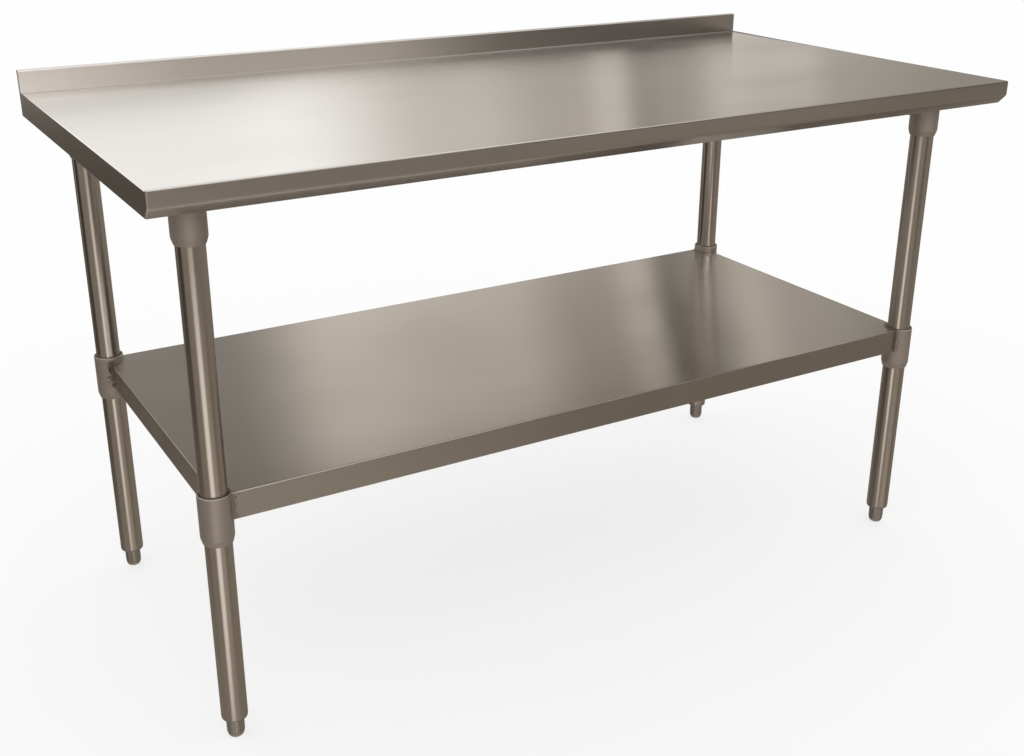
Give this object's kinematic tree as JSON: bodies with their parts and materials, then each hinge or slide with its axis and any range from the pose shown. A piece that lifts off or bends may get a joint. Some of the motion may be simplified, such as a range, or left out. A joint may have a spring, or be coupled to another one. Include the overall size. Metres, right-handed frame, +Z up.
{
  "type": "stainless work table",
  "caption": "Stainless steel commercial kitchen work table with a low rear riser, round legs on adjustable bullet feet, and a height-adjustable undershelf.",
  "frame": {"origin": "on the floor, under the middle of the table's length and depth", "axes": "+X along the table to the right as seen from the front, -Y towards the front edge, +Z up"},
  "size_m": [1.524, 0.762, 0.9398],
  "materials": {
    "top_steel": "brushed along the length, satin",
    "shelf_steel": "brushed along the length, satin",
    "leg_steel": "polished tube, fine lengthwise grain",
    "socket_steel": "satin cast and machined",
    "foot_steel": "turned satin",
    "channel_steel": "mill finish sheet",
    "insert_metal": "turned",
    "fastener_steel": "plain machine finish"
  },
  "bodies": {
    "frame": {"top_sheet": "top_steel", "riser_cap_left": "top_steel", "riser_cap_right": "top_steel", "channel_left": "channel_steel", "channel_right": "channel_steel", "channel_center": "channel_steel", "nut_left_1": "fastener_steel", "nut_left_2": "fastener_steel", "nut_left_3": "fastener_steel", "nut_left_4": "fastener_steel", "nut_right_1": "fastener_steel", "nut_right_2": "fastener_steel", "nut_right_3": "fastener_steel", "nut_right_4": "fastener_steel", "nut_center_1": "fastener_steel", "nut_center_2": "fastener_steel", "nut_center_3": "fastener_steel", "nut_center_4": "fastener_steel", "leg_gusset_front_left": "socket_steel", "leg_gusset_front_right": "socket_steel", "leg_gusset_back_left": "socket_steel", "leg_gusset_back_right": "socket_steel", "leg_front_left": "leg_steel", "leg_front_right": "leg_steel", "leg_back_left": "leg_steel", "leg_back_right": "leg_steel", "foot_insert_front_left": "insert_metal", "foot_insert_front_right": "insert_metal", "foot_insert_back_left": "insert_metal", "foot_insert_back_right": "insert_metal"},
    "shelf": {"shelf_pan": "shelf_steel", "shelf_channel": "channel_steel", "shelf_socket_front_left": "socket_steel", "shelf_socket_front_right": "socket_steel", "shelf_socket_back_left": "socket_steel", "shelf_socket_back_right": "socket_steel"},
    "stem_front_left": {"foot_stem_front_left": "fastener_steel"},
    "foot_front_left": {"foot_front_left": "foot_steel"},
    "gusset_screw_front_left": {"gusset_screw_front_left": "fastener_steel"},
    "shelf_screw_front_left": {"shelf_screw_front_left": "fastener_steel"},
    "stem_front_right": {"foot_stem_front_right": "fastener_steel"},
    "foot_front_right": {"foot_front_right": "foot_steel"},
    "gusset_screw_front_right": {"gusset_screw_front_right": "fastener_steel"},
    "shelf_screw_front_right": {"shelf_screw_front_right": "fastener_steel"},
    "stem_back_left": {"foot_stem_back_left": "fastener_steel"},
    "foot_back_left": {"foot_back_left": "foot_steel"},
    "gusset_screw_back_left": {"gusset_screw_back_left": "fastener_steel"},
    "shelf_screw_back_left": {"shelf_screw_back_left": "fastener_steel"},
    "stem_back_right": {"foot_stem_back_right": "fastener_steel"},
    "foot_back_right": {"foot_back_right": "foot_steel"},
    "gusset_screw_back_right": {"gusset_screw_back_right": "fastener_steel"},
    "shelf_screw_back_right": {"shelf_screw_back_right": "fastener_steel"}
  },
  "joints": [
    {"name": "shelf_slide", "type": "slide", "parent": "frame", "child": "shelf", "axis": [0, 0, 1], "range_m": [-0.25, 0.33]},
    {"name": "foot_front_left_extend", "type": "slide", "parent": "frame", "child": "stem_front_left", "axis": [0, 0, -1], "range_m": [0, 0.025]},
    {"name": "foot_front_left_turn", "type": "hinge", "parent": "stem_front_left", "child": "foot_front_left", "pos_m": [-0.682, -0.273, 0.02], "axis": [0, 0, -1], "range_deg": [0, 4610]},
    {"name": "gusset_screw_front_left_out", "type": "slide", "parent": "frame", "child": "gusset_screw_front_left", "axis": [0.7071, 0.7071, 0], "range_m": [0, 0.0035]},
    {"name": "shelf_screw_front_left_out", "type": "slide", "parent": "shelf", "child": "shelf_screw_front_left", "axis": [0.7071, 0.7071, 0], "range_m": [0, 0.0035]},
    {"name": "foot_front_right_extend", "type": "slide", "parent": "frame", "child": "stem_front_right", "axis": [0, 0, -1], "range_m": [0, 0.025]},
    {"name": "foot_front_right_turn", "type": "hinge", "parent": "stem_front_right", "child": "foot_front_right", "pos_m": [0.682, -0.273, 0.02], "axis": [0, 0, -1], "range_deg": [0, 4610]},
    {"name": "gusset_screw_front_right_out", "type": "slide", "parent": "frame", "child": "gusset_screw_front_right", "axis": [-0.7071, 0.7071, 0], "range_m": [0, 0.0035]},
    {"name": "shelf_screw_front_right_out", "type": "slide", "parent": "shelf", "child": "shelf_screw_front_right", "axis": [-0.7071, 0.7071, 0], "range_m": [0, 0.0035]},
    {"name": "foot_back_left_extend", "type": "slide", "parent": "frame", "child": "stem_back_left", "axis": [0, 0, -1], "range_m": [0, 0.025]},
    {"name": "foot_back_left_turn", "type": "hinge", "parent": "stem_back_left", "child": "foot_back_left", "pos_m": [-0.682, 0.319, 0.02], "axis": [0, 0, -1], "range_deg": [0, 4610]},
    {"name": "gusset_screw_back_left_out", "type": "slide", "parent": "frame", "child": "gusset_screw_back_left", "axis": [0.7071, -0.7071, 0], "range_m": [0, 0.0035]},
    {"name": "shelf_screw_back_left_out", "type": "slide", "parent": "shelf", "child": "shelf_screw_back_left", "axis": [0.7071, -0.7071, 0], "range_m": [0, 0.0035]},
    {"name": "foot_back_right_extend", "type": "slide", "parent": "frame", "child": "stem_back_right", "axis": [0, 0, -1], "range_m": [0, 0.025]},
    {"name": "foot_back_right_turn", "type": "hinge", "parent": "stem_back_right", "child": "foot_back_right", "pos_m": [0.682, 0.319, 0.02], "axis": [0, 0, -1], "range_deg": [0, 4610]},
    {"name": "gusset_screw_back_right_out", "type": "slide", "parent": "frame", "child": "gusset_screw_back_right", "axis": [-0.7071, -0.7071, 0], "range_m": [0, 0.0035]},
    {"name": "shelf_screw_back_right_out", "type": "slide", "parent": "shelf", "child": "shelf_screw_back_right", "axis": [-0.7071, -0.7071, 0], "range_m": [0, 0.0035]}
  ],
  "couplings": [
    {"joint": "foot_front_left_turn", "follows": "foot_front_left_extend", "rad_per_m": 3215.8},
    {"joint": "foot_front_right_turn", "follows": "foot_front_right_extend", "rad_per_m": 3215.8},
    {"joint": "foot_back_left_turn", "follows": "foot_back_left_extend", "rad_per_m": 3215.8},
    {"joint": "foot_back_right_turn", "follows": "foot_back_right_extend", "rad_per_m": 3215.8}
  ]
}
